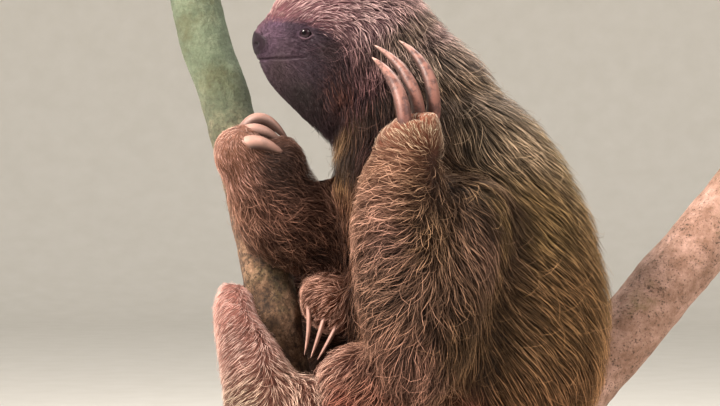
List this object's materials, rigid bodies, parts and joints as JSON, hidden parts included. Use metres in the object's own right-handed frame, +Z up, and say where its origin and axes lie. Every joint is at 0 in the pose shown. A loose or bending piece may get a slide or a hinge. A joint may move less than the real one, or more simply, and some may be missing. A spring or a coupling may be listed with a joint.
{
  "type": "three-toed sloth model",
  "caption": "Life-size three-toed sloth sitting in the fork of a cut tree limb, one arm round the stem and one hand raised beside the head, on a flat display base.",
  "frame": {"origin": "centre of the underside of the stand's base", "axes": "+Z up; the sloth's face points along -X and its left side is towards -Y"},
  "size_m": [0.4012, 0.242, 0.4978],
  "materials": {
    "coat": "long coarse fur, olive brown on the back and tan to red-brown on the limbs",
    "face_skin": "dark purple-brown skin under very short, flat hair",
    "nose_pad": "bare, damp, nearly black nose",
    "eye": "dark brown, wet and glossy",
    "claw_horn": "smooth pinkish-tan horn with brown blotches and a paler tip",
    "bark": "thin pinkish-grey bark with dark specks, mossy brown on the upright stem",
    "stand_lacquer": "satin dark-stained wooden base",
    "stand_steel": "brushed steel rods"
  },
  "bodies": {
    "root": {"ear_left": "coat", "ear_right": "coat", "eye_left": "eye", "eye_right": "eye", "foot_claw_left_1": "claw_horn", "foot_claw_left_2": "claw_horn", "foot_claw_left_3": "claw_horn", "foot_claw_right_1": "claw_horn", "foot_claw_right_2": "claw_horn", "foot_claw_right_3": "claw_horn", "foot_left": "coat", "foot_right": "coat", "forearm_left": "coat", "forearm_right": "coat", "hand_claw_left_1": "claw_horn", "hand_claw_left_2": "claw_horn", "hand_claw_left_3": "claw_horn", "hand_claw_right_1": "claw_horn", "hand_claw_right_2": "claw_horn", "hand_claw_right_3": "claw_horn", "hand_left": "coat", "hand_right": "coat", "head": "coat", "lower_jaw": "face_skin", "muzzle": "face_skin", "neck": "coat", "nose": "nose_pad", "perch_branch": "bark", "perch_trunk": "bark", "shin_left": "coat", "shin_right": "coat", "stand_base": "stand_lacquer", "stand_rod_1": "stand_steel", "stand_rod_2": "stand_steel", "tail": "coat", "thigh_left": "coat", "thigh_right": "coat", "torso": "coat", "upper_arm_left": "coat", "upper_arm_right": "coat"}
  },
  "joints": []
}
